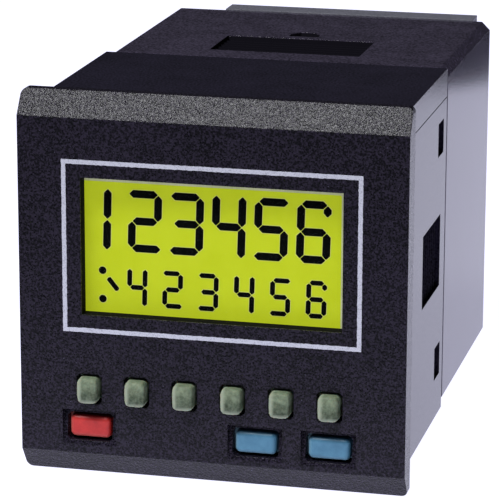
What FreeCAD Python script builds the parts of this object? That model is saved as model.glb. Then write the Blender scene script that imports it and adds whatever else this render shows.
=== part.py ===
import FreeCAD, Part
import os
import re
import Sketcher

# A 48 mm square panel-mounted preset timer with a two-row display and nine keys.
# The origin is the centre of the seat, where the back of the front frame meets
# the panel. X points to the right as seen from the front, Y points backwards
# through the panel, and Z points up. All sizes are in millimetres.

SIZES = [
    ("rim_overlap", 1.5, "front frame beyond the housing on every side"),
    ("rim_depth", 1.2, "straight edge of the frame behind its bevels"),
    ("bevel_depth", 2.2, "how far the top and bottom bevels run back"),
    ("bevel_height", 3.0, "height of each bevel seen from the front"),
    ("rim_round", 0.8, "radius of the frame's four outer corners"),
    ("face_wall", 1.8, "thickness of the front wall"),
    ("skirt_length", 8.0, "frame skirt inside the body"),
    ("skirt_wall", 1.2, "thickness of the skirt"),
    ("body_size", 45.0, "outside width and height of the housing behind the panel"),
    ("rear_step", 0.1, "rear half's top and bottom inside the front half's"),
    ("wall", 2.0, "housing wall"),
    ("front_length", 30.1, "seat to the seam between the two halves"),
    ("seam_gap", 0.25, "open joint between the two halves"),
    ("housing_length", 63.9, "seat to the back of the rear wall"),
    ("rear_wall", 2.2, "thickness of the rear wall"),
    ("long_chamfer", 1.1, "chamfer on the rear half's long edges"),
    ("seam_round", 0.5, "rounding on the rear half's front edge"),
    ("cover_height", 3.6, "height of the top cover's side"),
    ("parting_gap", 0.12, "line between the top cover and the body"),
    ("fit_gap", 0.15, "clearance of pieces that slide together"),
    ("stack_gap", 0.05, "clearance of pieces stacked face to face"),
    ("spigot_length", 6.1, "rear half's spigot inside the front half"),
    ("spigot_wall", 1.4, "thickness of the spigot"),
    ("latch_length", 3.8, "latch window along the housing"),
    ("latch_height", 4.3, "height of a latch window"),
    ("latch_spread", 29.4, "upper to lower latch window, centre to centre"),
    ("latch_margin", 2.0, "latch window to the end of the front half"),
    ("hook_gap", 0.4, "hook to window clearance all round"),
    ("hook_sink", 0.5, "hook face below the housing's side"),
    ("ratchet_depth", 1.0, "depth of a ratchet panel"),
    ("tooth_height", 0.55, "height of one ratchet tooth"),
    ("side_ratchet_length", 12.2, "side ratchet panel along the housing"),
    ("side_ratchet_height", 9.4, "height of a side ratchet panel"),
    ("side_ratchet_margin", 3.3, "side ratchet panel to the seam"),
    ("side_tooth_count", 9, "teeth in a side panel"),
    ("side_drop", 0.4, "side panels and latch windows below the centre line"),
    ("top_ratchet_width", 20.0, "width of the ratchet pocket above and below"),
    ("top_ratchet_length", 10.2, "that pocket along the housing"),
    ("top_ratchet_margin", 5.0, "seam to that pocket"),
    ("top_tooth_count", 7, "teeth in that pocket"),
    ("notch_width", 4.0, "release notch behind the pocket"),
    ("notch_length", 3.0, "release notch along the housing"),
    ("notch_margin", 1.5, "pocket to notch"),
    ("notch_depth", 0.7, "release notch"),
    ("window_width", 32.3, "display opening"),
    ("window_height", 17.1, "display opening"),
    ("window_rise", 5.2, "centre of the display above the centre line"),
    ("pane_margin", 1.6, "pane beyond the opening on each side"),
    ("pane_thickness", 0.5, "clear pane"),
    ("glass_thickness", 1.0, "each of the display's two glass plates"),
    ("holder_gap", 0.2, "display holder to the skirt, left and right"),
    ("glass_height", 24.6, "front plate with its contact ledges"),
    ("ledge", 2.0, "contact ledge above and below the rear plate"),
    ("reflector_thickness", 0.25, "white film behind the light guide"),
    ("guide_inset", 1.7, "light guide inside the glass, left and right"),
    ("guide_thickness", 2.2, "light guide"),
    ("guide_height", 18.6, "light guide"),
    ("led_width", 1.4, "backlight lamp beside the guide"),
    ("led_height", 3.0, "backlight lamp"),
    ("holder_wall", 0.6, "display holder"),
    ("board_thickness", 1.4, "all circuit boards"),
    ("display_board_y", 5.0, "seat to the front of the display board"),
    ("key_count", 6, "decade keys"),
    ("key_pitch", 6.0, "decade key spacing"),
    ("key_side", -0.3, "middle of the decade keys from the centre line"),
    ("key_rise", 11.25, "decade keys above the frame's lower edge"),
    ("key_width", 2.6, "decade key"),
    ("key_height", 3.2, "decade key"),
    ("key_proud", 1.4, "decade key in front of the face"),
    ("key_round", 0.6, "decade key's soft edges"),
    ("key_gap", 0.3, "key to its hole on each side"),
    ("key_lug", 0.35, "flange beyond the hole, left and right"),
    ("flange_thickness", 0.7, "flange that keeps a key in"),
    ("key_travel", 0.8, "how far a key goes in"),
    ("stem_radius", 0.9, "stem that presses the contact"),
    ("wide_key_width", 5.15, "reset and function keys"),
    ("wide_key_height", 2.8, "reset and function keys"),
    ("wide_key_round", 0.65, "their edges"),
    ("wide_key_sink", 0.35, "their faces behind the frame's face"),
    ("wide_stem_rise", 0.8, "their stems above their centres"),
    ("reset_side", -15.33, "reset key from the centre line"),
    ("reset_rise", 6.3, "reset key above the frame's lower edge"),
    ("mode_side", 5.52, "left function key from the centre line"),
    ("set_side", 14.6, "right function key from the centre line"),
    ("mode_rise", 5.86, "function keys above the frame's lower edge"),
    ("recess_width", 6.8, "wedge recess round a wide key"),
    ("recess_height", 4.4, "wedge recess"),
    ("recess_depth", 0.9, "wedge recess at its top"),
    ("hole_corner", 0.4, "cut across the corners of the key holes"),
    ("keymat_thickness", 1.0, "silicone keymat"),
    ("keymat_edge", 1.2, "keymat beyond its keys"),
    ("pad_hole", 0.3, "stem to keymat hole"),
    ("gasket_thickness", 0.8, "panel gasket"),
    ("gasket_edge", 0.5, "gasket inside the frame's outline"),
    ("pole_count", 7, "terminals in each block"),
    ("pole_pitch", 5.0, "terminal spacing"),
    ("block_side", 2.55, "terminal blocks from the centre line"),
    ("block_rise", 0.15, "terminal block above the rear half's top"),
    ("block_reach", 3.9, "terminal block behind the rear wall"),
    ("block_height", 11.4, "terminal block outside the housing"),
    ("tongue_length", 12.0, "terminal block inside the housing"),
    ("tongue_height", 8.6, "terminal block inside the housing"),
    ("pole_wall", 1.0, "wall between poles"),
    ("pole_depth", 8.0, "chamber that holds a clamp"),
    ("clamp_length", 5.0, "clamp body"),
    ("tail_width", 0.8, "clamp's solder tail"),
    ("screw_radius", 1.6, "terminal screw head"),
    ("shank_radius", 1.2, "terminal screw shank"),
    ("head_height", 1.6, "terminal screw head"),
    ("head_sink", 1.0, "screw head behind the block's face"),
    ("slot_width", 0.5, "screwdriver slot"),
    ("slot_depth", 0.7, "screwdriver slot"),
    ("wire_radius", 1.3, "round wire entry"),
    ("clamp_clearance", 0.1, "wire bore in the clamp beyond the wire entry"),
    ("screw_to_wire", 4.0, "screw to wire entry"),
    ("side_board_gap", 0.35, "side boards to the spigot"),
    ("side_board_height", 36.0, "side boards"),
    ("side_board_start", 10.0, "seat to the front edge of the side boards"),
    ("link_board_y", 46.0, "seat to the front of the rear board"),
    ("link_board_edge", 0.4, "rear board to the housing walls"),
    ("header_width", 2.5, "board-to-board headers"),
    ("header_height", 24.0, "board-to-board headers"),
    ("header_overlap", 4.0, "headers along the side boards"),
    ("processor_size", 10.0, "processor"),
    ("processor_thickness", 1.5, "processor"),
    ("memory_size", 4.0, "memory chip"),
    ("relay_length", 20.0, "output relay along the housing"),
    ("relay_height", 10.0, "output relay"),
    ("relay_depth", 12.5, "output relay off its board"),
    ("relay_start", 16.0, "seat to the relays"),
    ("relay_gap", 2.0, "between the relays"),
    ("relay_base", -17.0, "underside of the lower relay"),
    ("core_start", 14.0, "seat to the transformer"),
    ("core_leg", 4.0, "transformer's outer legs and yokes"),
    ("core_window", 4.0, "winding space along the housing"),
    ("core_height", 18.0, "transformer core"),
    ("core_base", -17.0, "underside of the transformer core"),
    ("core_stack", 8.0, "thickness of the core's stack"),
    ("core_standoff", 3.4, "core off its board"),
    ("coil_build", 3.3, "winding outside the middle leg"),
    ("capacitor_radius", 5.0, "filter capacitor"),
    ("capacitor_length", 14.0, "filter capacitor"),
    ("capacitor_y", 24.0, "seat to the capacitor's axis"),
    ("capacitor_z", 10.5, "capacitor's axis above the centre line"),
    ("absorber_radius", 4.5, "surge absorber disc"),
    ("absorber_thickness", 3.6, "surge absorber disc"),
    ("absorber_y", 38.5, "seat to the surge absorber"),
]

SIZE = {name: value for name, value, meaning in SIZES}

# Places and sizes that follow from the driving ones, as formulas of their names.
DERIVED = {
    "face_half": "half_width + rim_overlap",
    "key_drop": "face_half - key_rise",
    "reset_drop": "face_half - reset_rise",
    "mode_drop": "face_half - mode_rise",
    "face_y": "-(rim_depth + bevel_depth)",
    "face_back": "face_y + face_wall",
    "half_width": "body_size / 2",
    "half_height": "body_size / 2",
    "rear_half": "half_height - rear_step",
    "inner_half": "half_width - wall",
    "inner_half_z": "half_height - wall",
    "rear_inner_z": "rear_half - wall",
    "skirt_half": "inner_half - fit_gap",
    "skirt_half_z": "inner_half_z - fit_gap",
    "bay_half": "skirt_half - skirt_wall",
    "bay_half_z": "skirt_half_z - skirt_wall",
    "rear_y": "front_length + seam_gap",
    "back_inside": "housing_length - rear_wall",
    "cover_z": "half_height - cover_height",
    "latch_end": "front_length - latch_margin",
    "latch_start": "latch_end - latch_length",
    "ratchet_end": "front_length - side_ratchet_margin",
    "ratchet_start": "ratchet_end - side_ratchet_length",
    "pocket_start": "rear_y + top_ratchet_margin",
    "pocket_end": "pocket_start + top_ratchet_length",
    "notch_start": "pocket_end + notch_margin",
    "spigot_y": "front_length - spigot_length",
    "bore_half": "inner_half - fit_gap - spigot_wall",
    "bore_half_z": "inner_half_z - fit_gap - spigot_wall",
    "pane_y": "face_back + stack_gap",
    "glass_y": "pane_y + pane_thickness + stack_gap",
    "rear_glass_y": "glass_y + glass_thickness",
    "guide_y": "rear_glass_y + glass_thickness + stack_gap",
    "reflector_y": "guide_y + guide_thickness + stack_gap",
    "board_back": "display_board_y + board_thickness",
    "stem_end": "display_board_y - stack_gap - key_travel",
    "keymat_y": "display_board_y - stack_gap - keymat_thickness",
    "flange_y": "face_back + stack_gap",
    "link_board_back": "link_board_y + board_thickness",
    "block_y": "housing_length + stack_gap",
    "block_end_y": "housing_length + block_reach",
    "tongue_y": "housing_length - tongue_length",
    "tongue_top": "rear_inner_z - 2 * fit_gap",
    "screw_z": "tongue_top - pole_wall / 2 - screw_radius - fit_gap",
    "wire_z": "screw_z - screw_to_wire",
    "block_half": "pole_count * pole_pitch / 2",
    "block_top": "rear_half + block_rise",
    "tongue_base": "tongue_top - tongue_height",
    "chamber_end": "tongue_y + pole_depth",
    "clamp_end": "chamber_end - fit_gap",
    "clamp_start": "clamp_end - clamp_length",
    "head_end": "block_end_y - head_sink",
    "head_start": "head_end - head_height",
    "chamber_half": "(pole_pitch - pole_wall) / 2",
    "tail_z": "(screw_z + wire_z) / 2",
    "tongue_half": "block_half - fit_gap - stack_gap",
    "side_board_offset": "bore_half - side_board_gap - board_thickness / 2",
    "side_board_end": "link_board_y - stack_gap",
    "side_board_inside": "side_board_offset - board_thickness / 2",
    "part_side": "side_board_inside - stack_gap",
    "core_near": "side_board_inside - core_standoff",
    "core_far": "core_near - core_stack",
    "core_end": "core_start + 4 * core_leg + 2 * core_window",
    "middle_leg_start": "core_start + core_leg + core_window",
    "middle_leg_end": "core_end - core_leg - core_window",
    "core_top": "core_base + core_height",
    "glass_half": "bay_half - holder_gap - holder_wall - fit_gap",
    "glass_half_z": "glass_height / 2",
    "holder_half": "glass_half + fit_gap + holder_wall",
    "holder_half_z": "glass_half_z + fit_gap + holder_wall",
    "guide_half": "glass_half - guide_inset",
    "led_start": "guide_half + fit_gap",
    "keymat_top": "-key_drop + key_height / 2 + keymat_edge",
    "board_half": "bay_half - fit_gap",
    "board_half_z": "bay_half_z - fit_gap",
}

PLANES = {"front": ("XZ_Plane", -1), "side": ("YZ_Plane", 1), "top": ("XY_Plane", 1)}

document = FreeCAD.newDocument("Timer")
subparts = []


def fill_sheet():
    """Put each driving size in a named cell."""
    sheet = document.addObject("Spreadsheet::Sheet", "Sizes")
    for row, (name, value, meaning) in enumerate(SIZES, start=1):
        sheet.set("A%d" % row, name)
        sheet.set("B%d" % row, str(value))
        sheet.set("C%d" % row, meaning)
        sheet.setAlias("B%d" % row, name)
    document.recompute()


def formula(text):
    """Write out derived names, and point driving names at the sheet."""
    def spell(match):
        word = match.group()
        if word in DERIVED:
            return "(" + formula(DERIVED[word]) + ")"
        if word in SIZE:
            return "Sizes." + word
        raise ValueError("unknown size: " + word)
    return re.sub(r"[a-z_]+", spell, str(text))


def minus(text):
    return "-(%s)" % text


def new_body(label):
    """An empty body that becomes one sub-part."""
    body = document.addObject("PartDesign::Body", label)
    body.Label = label
    body.AllowCompound = True
    subparts.append(body)
    return body


def new_sketch(body, view, level):
    """An empty sketch parallel to one of the body's planes, at a level along its axis."""
    role, sense = PLANES[view]
    plane = next(item for item in body.Origin.OriginFeatures if item.Role == role)
    sketch = body.newObject("Sketcher::SketchObject", body.Name + "_sketch")
    sketch.AttachmentSupport = [(plane, "")]
    sketch.MapMode = "FlatFace"
    height = formula(level) if sense > 0 else minus(formula(level))
    sketch.setExpression("AttachmentOffset.Base.z", height)
    return sketch


def hold_point(sketch, line, end, across, up):
    """Tie one end of a line to its place across and up the sketch."""
    for kind, place in (("DistanceX", across), ("DistanceY", up)):
        index = sketch.addConstraint(Sketcher.Constraint(kind, -1, 1, line, end, 1.0))
        sketch.setExpression("Constraints[%d]" % index, formula(place))


def draw_polygon(sketch, points):
    """A closed outline whose corners are tied to formulas."""
    first = sketch.GeometryCount
    count = len(points)
    for number in range(count):
        start = FreeCAD.Vector(number, number * number, 0)
        after = (number + 1) % count
        end = FreeCAD.Vector(after, after * after, 0)
        sketch.addGeometry(Part.LineSegment(start, end))
    for number, (across, up) in enumerate(points):
        before = first + (number - 1) % count
        sketch.addConstraint(Sketcher.Constraint("Coincident", before, 2, first + number, 1))
        hold_point(sketch, first + number, 1, across, up)


def draw_rectangle(sketch, left, right, bottom, top):
    """An upright rectangle whose opposite corners are tied to formulas."""
    first = sketch.GeometryCount
    corners = [FreeCAD.Vector(x, y, 0) for x, y in ((0, 0), (1, 0), (1, 1), (0, 1))]
    for number in range(4):
        sketch.addGeometry(Part.LineSegment(corners[number], corners[(number + 1) % 4]))
    for number in range(4):
        after = first + (number + 1) % 4
        sketch.addConstraint(Sketcher.Constraint("Coincident", first + number, 2, after, 1))
        direction = "Horizontal" if number % 2 == 0 else "Vertical"
        sketch.addConstraint(Sketcher.Constraint(direction, first + number))
    hold_point(sketch, first, 1, left, bottom)
    hold_point(sketch, first + 2, 1, right, top)


def draw_circle(sketch, across, up, radius):
    """A circle whose centre and radius are tied to formulas."""
    circle = sketch.addGeometry(Part.Circle(FreeCAD.Vector(0, 0, 0), FreeCAD.Vector(0, 0, 1), 1))
    hold_point(sketch, circle, 3, across, up)
    index = sketch.addConstraint(Sketcher.Constraint("Radius", circle, 1.0))
    sketch.setExpression("Constraints[%d]" % index, formula(radius))


def extrude(body, kind, view, low, high, polygons=(), rectangles=(), circles=()):
    """Add (Pad) or remove (Pocket) outlines between two levels along the view's axis."""
    volume = 0 if body.Shape.isNull() else body.Shape.Volume
    sketch = new_sketch(body, view, low)
    for points in polygons:
        draw_polygon(sketch, points)
    for sides in rectangles:
        draw_rectangle(sketch, *sides)
    for circle in circles:
        draw_circle(sketch, *circle)
    feature = body.newObject("PartDesign::" + kind, body.Name + "_" + kind.lower())
    feature.Profile = sketch
    feature.Reversed = (PLANES[view][1] > 0) == (kind == "Pocket")
    feature.setExpression("Length", "(%s) - (%s)" % (formula(high), formula(low)))
    document.recompute()
    change = body.Shape.Volume - volume
    if (change > 0) != (kind == "Pad"):
        raise RuntimeError("%s changed nothing in %s" % (kind, body.Label))
    return feature


def dress(body, kind, size, wanted):
    """Fillet or chamfer the edges that a test picks out."""
    names = []
    for number, edge in enumerate(body.Shape.Edges, start=1):
        if wanted(edge):
            names.append("Edge%d" % number)
    if not names:
        raise RuntimeError("no edges to dress in " + body.Label)
    base = body.Tip
    feature = body.newObject("PartDesign::" + kind, body.Name + "_" + kind.lower())
    feature.Base = (base, names)
    feature.setExpression("Radius" if kind == "Fillet" else "Size", formula(size))
    document.recompute()
    return feature


def plate(label, view, low, high, rectangles=(), circles=()):
    """A sub-part that is one flat extrusion."""
    body = new_body(label)
    extrude(body, "Pad", view, low, high, rectangles=rectangles, circles=circles)
    return body


def around(centre, half):
    """The two sides of something centred on a place."""
    return "(%s) - (%s)" % (centre, half), "(%s) + (%s)" % (centre, half)


def box_about(across, half_across, up, half_up):
    """A rectangle given by its centre and half sizes."""
    return around(across, half_across) + around(up, half_up)


def centred(half_across, half_up):
    """A rectangle about the centre line."""
    return box_about("0", half_across, "0", half_up)


def span(low, high, sense):
    """A stretch of height, or its mirror image below the centre line."""
    if sense > 0:
        return low, high
    return minus(high), minus(low)


def sawtooth(start, length, count, floor, sense):
    """Ramped teeth on a floor: pairs of (place along the row, height of the outline)."""
    pitch = "(%s) / %d" % (length, count)
    grow = "+" if sense > 0 else "-"
    shrink = "-" if sense > 0 else "+"
    root = "(%s) %s stack_gap" % (floor, shrink)
    tip = "(%s) %s tooth_height" % (floor, grow)
    points = [(start, root)]
    for tooth in range(count):
        points.append(("(%s) + %d * %s" % (start, tooth, pitch), tip))
        points.append(("(%s) + %d * %s" % (start, tooth + 1, pitch), floor))
    points.append(("(%s) + (%s)" % (start, length), root))
    return points


def keys():
    """Name, place and form of each key: (label, across, up, wide)."""
    places = []
    for number in range(1, SIZE["key_count"] + 1):
        across = "key_side + (%d - (key_count + 1) / 2) * key_pitch" % number
        places.append(("decade_key_%d" % number, across, "-key_drop", False))
    places.append(("reset_key", "reset_side", "-reset_drop", True))
    places.append(("function_key_left", "mode_side", "-mode_drop", True))
    places.append(("function_key_right", "set_side", "-mode_drop", True))
    return places


def key_hole(across, half_across, up, half_up):
    """The outline of a key's hole: a rectangle with its corners cut off."""
    left, right = around(across, half_across)
    low, high = around(up, half_up)
    return [
        (left + " + hole_corner", low),
        (right + " - hole_corner", low),
        (right, low + " + hole_corner"),
        (right, high + " - hole_corner"),
        (right + " - hole_corner", high),
        (left + " + hole_corner", high),
        (left, high + " - hole_corner"),
        (left, low + " + hole_corner"),
    ]


def key_form(wide):
    """Half width and half height of a key's cap."""
    if wide:
        return "wide_key_width / 2", "wide_key_height / 2"
    return "key_width / 2", "key_height / 2"


def stem_height(up, wide):
    """Where a key's stem is, up the face."""
    if wide:
        return "(%s) + wide_stem_rise" % up
    return up


def poles():
    """Place across the housing of each pole of a terminal block."""
    middle = "(pole_count - 1) / 2"
    return ["block_side + (%d - %s) * pole_pitch" % (n, middle) for n in range(SIZE["pole_count"])]


def along_y(edge):
    """Whether an edge runs front to back."""
    box = edge.BoundBox
    return box.YLength > 1e-6 and box.XLength < 1e-6 and box.ZLength < 1e-6


def make_front_frame():
    """Bevelled front frame with the window, the key holes and a skirt for the body."""
    frame = new_body("front_frame")
    bevel_z = "face_half - bevel_height"
    profile = [
        ("0", "-face_half"),
        ("0", "face_half"),
        ("-rim_depth", "face_half"),
        ("face_y", bevel_z),
        ("face_y", minus(bevel_z)),
        ("-rim_depth", "-face_half"),
    ]
    extrude(frame, "Pad", "side", "-face_half", "face_half", polygons=[profile])
    dress(frame, "Fillet", "rim_round", along_y)
    outer = centred("skirt_half", "skirt_half_z")
    inner = centred("bay_half", "bay_half_z")
    extrude(frame, "Pad", "front", "0", "skirt_length", rectangles=[outer, inner])
    extrude(frame, "Pocket", "front", "face_back", "0", rectangles=[inner])
    window = box_about("0", "window_width / 2", "window_rise", "window_height / 2")
    extrude(frame, "Pocket", "front", "face_y", "face_back", rectangles=[window])
    for label, across, up, wide in keys():
        if wide:
            top = "(%s) + recess_height / 2" % up
            wedge = [
                ("face_y", top),
                ("face_y + recess_depth", top),
                ("face_y", "(%s) - recess_height / 2" % up),
            ]
            left, right = around(across, "recess_width / 2")
            extrude(frame, "Pocket", "side", left, right, polygons=[wedge])
    holes = []
    reliefs = []
    for label, across, up, wide in keys():
        half_across, half_up = key_form(wide)
        half_hole = half_up + " + key_gap"
        holes.append(key_hole(across, half_across + " + key_gap", up, half_hole))
        if wide:
            reliefs.append(box_about(across, half_across + " + 2 * key_gap + key_lug", up, half_hole))
    extrude(frame, "Pocket", "front", "face_y", "face_back", polygons=holes)
    extrude(frame, "Pocket", "front", "face_back", "skirt_length", rectangles=reliefs)


def make_key(label, across, up, wide):
    """A key: cap in the hole, flange behind the wall, stem down to the contact."""
    key = new_body(label)
    half_across, half_up = key_form(wide)
    front = "face_y + wide_key_sink" if wide else "face_y - key_proud"
    cap = box_about(across, half_across, up, half_up)
    extrude(key, "Pad", "front", front, "flange_y", rectangles=[cap])
    front_y = key.Shape.BoundBox.YMin
    size = "wide_key_round" if wide else "key_round"
    dress(key, "Fillet", size, lambda edge: along_y(edge) or edge.BoundBox.YMax < front_y + 1e-6)
    flange = box_about(across, half_across + " + key_gap + key_lug", up, half_up)
    extrude(key, "Pad", "front", "flange_y", "flange_y + flange_thickness", rectangles=[flange])
    stem = (across, stem_height(up, wide), "stem_radius")
    extrude(key, "Pad", "front", "flange_y + flange_thickness", "stem_end", circles=[stem])


def make_keymat():
    """Silicone mat on the display board, with a hole for each key's stem."""
    side = "board_half"
    sheet = (minus(side), side, "-board_half_z", "keymat_top")
    radius = "stem_radius + pad_hole"
    holes = [(across, stem_height(up, wide), radius) for label, across, up, wide in keys()]
    plate("keymat", "front", "keymat_y", "keymat_y + keymat_thickness", [sheet], holes)


def make_display():
    """Window pane, two-plate display cell, light guide, lamps, holder and contact strips."""
    rise = "window_rise"
    pane = box_about("0", "window_width / 2 + pane_margin", rise, "window_height / 2 + pane_margin")
    plate("window_pane", "front", "pane_y", "pane_y + pane_thickness", [pane])
    front_glass = box_about("0", "glass_half", rise, "glass_half_z")
    plate("display_front_glass", "front", "glass_y", "rear_glass_y", [front_glass])
    rear_glass = box_about("0", "glass_half", rise, "glass_half_z - ledge")
    plate("display_rear_glass", "front", "rear_glass_y", "rear_glass_y + glass_thickness", [rear_glass])
    guide = box_about("0", "guide_half", rise, "guide_height / 2")
    plate("light_guide", "front", "guide_y", "guide_y + guide_thickness", [guide])
    plate("reflector_film", "front", "reflector_y", "reflector_y + reflector_thickness", [guide])
    lamps = []
    for sense in (1, -1):
        left, right = span("led_start", "led_start + led_width", sense)
        lamps.append((left, right) + around(rise, "led_height / 2"))
    plate("backlight_lamps", "front", "guide_y", "display_board_y - stack_gap", lamps)
    outer = box_about("0", "holder_half", rise, "holder_half_z")
    inner = box_about("0", "glass_half + fit_gap", rise, "glass_half_z + fit_gap")
    plate("display_holder", "front", "glass_y", "display_board_y - stack_gap", [outer, inner])
    for label, sense in (("contact_strip_upper", 1), ("contact_strip_lower", -1)):
        offset = "glass_half_z - ledge / 2"
        middle = rise + (" + " if sense > 0 else " - ") + "(" + offset + ")"
        strip = box_about("0", "guide_half", middle, "ledge / 2 - fit_gap")
        plate(label, "front", "rear_glass_y + stack_gap", "display_board_y - stack_gap", [strip])


def make_front_body():
    """U-shaped front half: floor and two sides with latch windows and ratchet panels."""
    body = new_body("front_body")
    outer = ("-half_width", "half_width", "-half_height", "cover_z - parting_gap")
    extrude(body, "Pad", "front", "0", "front_length", rectangles=[outer])
    hollow = ("-inner_half", "inner_half", "-inner_half_z", "half_height")
    extrude(body, "Pocket", "front", "0", "front_length", rectangles=[hollow])
    windows = []
    for sense in ("+", "-"):
        middle = "-side_drop %s latch_spread / 2" % sense
        windows.append(("latch_start", "latch_end") + around(middle, "latch_height / 2"))
    extrude(body, "Pocket", "side", "-half_width", "half_width", rectangles=windows)
    low, high = around("-side_drop", "side_ratchet_height / 2")
    panel = ("ratchet_start", "ratchet_end", low, high)
    count = SIZE["side_tooth_count"]
    for sense in (1, -1):
        left, right = span("half_width - ratchet_depth", "half_width", sense)
        extrude(body, "Pocket", "side", left, right, rectangles=[panel])
        floor = left if sense > 0 else right
        teeth = sawtooth("ratchet_start", "side_ratchet_length", count, floor, sense)
        outline = [(height, place) for place, height in teeth]
        extrude(body, "Pad", "top", low, high, polygons=[outline])


def make_top_cover():
    """Shallow lid that closes the front half from above."""
    cover = new_body("top_cover")
    outline = [
        ("-half_width", "cover_z"),
        ("-half_width", "half_height"),
        ("half_width", "half_height"),
        ("half_width", "cover_z"),
        ("inner_half", "cover_z"),
        ("inner_half", "inner_half_z"),
        ("-inner_half", "inner_half_z"),
        ("-inner_half", "cover_z"),
    ]
    extrude(cover, "Pad", "front", "0", "front_length", polygons=[outline])


def make_rear_housing():
    """Rear half: chamfered tube with a back wall, a latching spigot and clip pockets."""
    rear = new_body("rear_housing")
    flat_x = "half_width - long_chamfer"
    flat_z = "rear_half - long_chamfer"
    upper = [
        ("half_width", flat_z),
        (flat_x, "rear_half"),
        (minus(flat_x), "rear_half"),
        ("-half_width", flat_z),
    ]
    lower = [(x, minus(z)) for x, z in reversed(upper)]
    extrude(rear, "Pad", "front", "rear_y", "housing_length", polygons=[upper + lower])
    front_y = rear.Shape.BoundBox.YMin
    dress(rear, "Fillet", "seam_round", lambda edge: edge.BoundBox.YMax < front_y + 1e-6)
    spigot = centred("inner_half - fit_gap", "inner_half_z - fit_gap")
    extrude(rear, "Pad", "front", "spigot_y", "rear_y + wall / 2", rectangles=[spigot])
    bore = centred("bore_half", "bore_half_z")
    extrude(rear, "Pocket", "front", "spigot_y", "rear_y + wall", rectangles=[bore])
    hollow = centred("inner_half", "rear_inner_z")
    extrude(rear, "Pocket", "front", "rear_y + wall", "back_inside", rectangles=[hollow])
    add_latch_hooks(rear)
    for sense in (1, -1):
        cut_clip_pocket(rear, sense)
    openings = []
    for sense in (1, -1):
        stretch = span("tongue_base - fit_gap", "tongue_top + fit_gap", sense)
        openings.append(around("block_side", "tongue_half + fit_gap") + stretch)
    extrude(rear, "Pocket", "front", "back_inside", "housing_length", rectangles=openings)


def add_latch_hooks(rear):
    """Four ramped hooks on the spigot that snap into the latch windows."""
    start = "latch_start + hook_gap"
    end = "latch_end - hook_gap"
    for sense in (1, -1):
        root = "inner_half - fit_gap - spigot_wall / 2"
        tip = "half_width - hook_sink"
        foot = "inner_half - fit_gap"
        outline = [(root, start), (foot, start), (tip, "(latch_start + latch_end) / 2")]
        outline += [(tip, end), (root, end)]
        outline = [(x if sense > 0 else minus(x), y) for x, y in outline]
        for rise in ("+", "-"):
            middle = "-side_drop %s latch_spread / 2" % rise
            low, high = around(middle, "latch_height / 2 - hook_gap")
            extrude(rear, "Pad", "top", low, high, polygons=[outline])


def cut_clip_pocket(rear, sense):
    """Toothed pocket and release notch for the mounting clip, above or below."""
    left, right = around("0", "top_ratchet_width / 2")
    pocket = (left, right, "pocket_start", "pocket_end")
    low, high = span("rear_half - ratchet_depth", "rear_half", sense)
    extrude(rear, "Pocket", "top", low, high, rectangles=[pocket])
    floor = low if sense > 0 else high
    count = SIZE["top_tooth_count"]
    teeth = sawtooth("pocket_start", "top_ratchet_length", count, floor, sense)
    extrude(rear, "Pad", "side", left, right, polygons=[teeth])
    half = "notch_width / 2"
    notch = [
        (minus(half), "notch_start"),
        (half, "notch_start"),
        (half, "notch_start + notch_length / 2"),
        ("notch_width / 4", "notch_start + notch_length"),
        ("-notch_width / 4", "notch_start + notch_length"),
        (minus(half), "notch_start + notch_length / 2"),
    ]
    low, high = span("rear_half - notch_depth", "rear_half", sense)
    extrude(rear, "Pocket", "top", low, high, polygons=[notch])


def make_gasket():
    """Flat rubber ring that seals the frame against the panel."""
    outer = centred("face_half - gasket_edge", "face_half - gasket_edge")
    inner = centred("half_width + fit_gap", "half_height + fit_gap")
    plate("panel_gasket", "front", "0", "gasket_thickness", [outer, inner])


def make_terminals(name, sense):
    """One row of screw terminals: moulded block, clamps and screws."""
    block = new_body("terminal_block_" + name)
    sides = around("block_side", "block_half")
    outer = sides + span("block_top - block_height", "block_top", sense)
    extrude(block, "Pad", "front", "block_y", "block_end_y", rectangles=[outer])
    tongue = around("block_side", "tongue_half") + span("tongue_base", "tongue_top", sense)
    extrude(block, "Pad", "front", "tongue_y", "block_y", rectangles=[tongue])
    height = span("tongue_base + pole_wall / 2", "tongue_top - pole_wall / 2", sense)
    chambers = [around(pole, "chamber_half") + height for pole in poles()]
    extrude(block, "Pocket", "front", "tongue_y", "chamber_end", rectangles=chambers)
    levels = ("screw_z", "wire_z", "tail_z")
    screw_z, wire_z, tail_z = levels if sense > 0 else [minus(level) for level in levels]
    wells = [(pole, screw_z, "screw_radius + fit_gap") for pole in poles()]
    entries = [(pole, wire_z, "wire_radius") for pole in poles()]
    extrude(block, "Pocket", "front", "chamber_end", "block_end_y", circles=wells + entries)

    clamps = new_body("terminal_clamps_" + name)
    height = span("tongue_base + pole_wall / 2 + fit_gap", "tongue_top - pole_wall / 2 - fit_gap", sense)
    blanks = [around(pole, "chamber_half - fit_gap") + height for pole in poles()]
    bores = [(pole, screw_z, "shank_radius + stack_gap") for pole in poles()]
    bores += [(pole, wire_z, "wire_radius + clamp_clearance") for pole in poles()]
    extrude(clamps, "Pad", "front", "clamp_start", "clamp_end", (), blanks, bores)
    tails = [box_about(pole, "tail_width / 2", tail_z, "tail_width / 2") for pole in poles()]
    extrude(clamps, "Pad", "front", "link_board_back + stack_gap", "clamp_start", (), tails)

    screws = new_body("terminal_screws_" + name)
    heads = [(pole, screw_z, "screw_radius") for pole in poles()]
    extrude(screws, "Pad", "front", "head_start", "head_end", circles=heads)
    shanks = [(pole, screw_z, "shank_radius") for pole in poles()]
    extrude(screws, "Pad", "front", "clamp_start + fit_gap", "head_start", circles=shanks)
    slots = [box_about(pole, "slot_width / 2", screw_z, "screw_radius") for pole in poles()]
    extrude(screws, "Pocket", "front", "head_end - slot_depth", "head_end", rectangles=slots)


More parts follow.
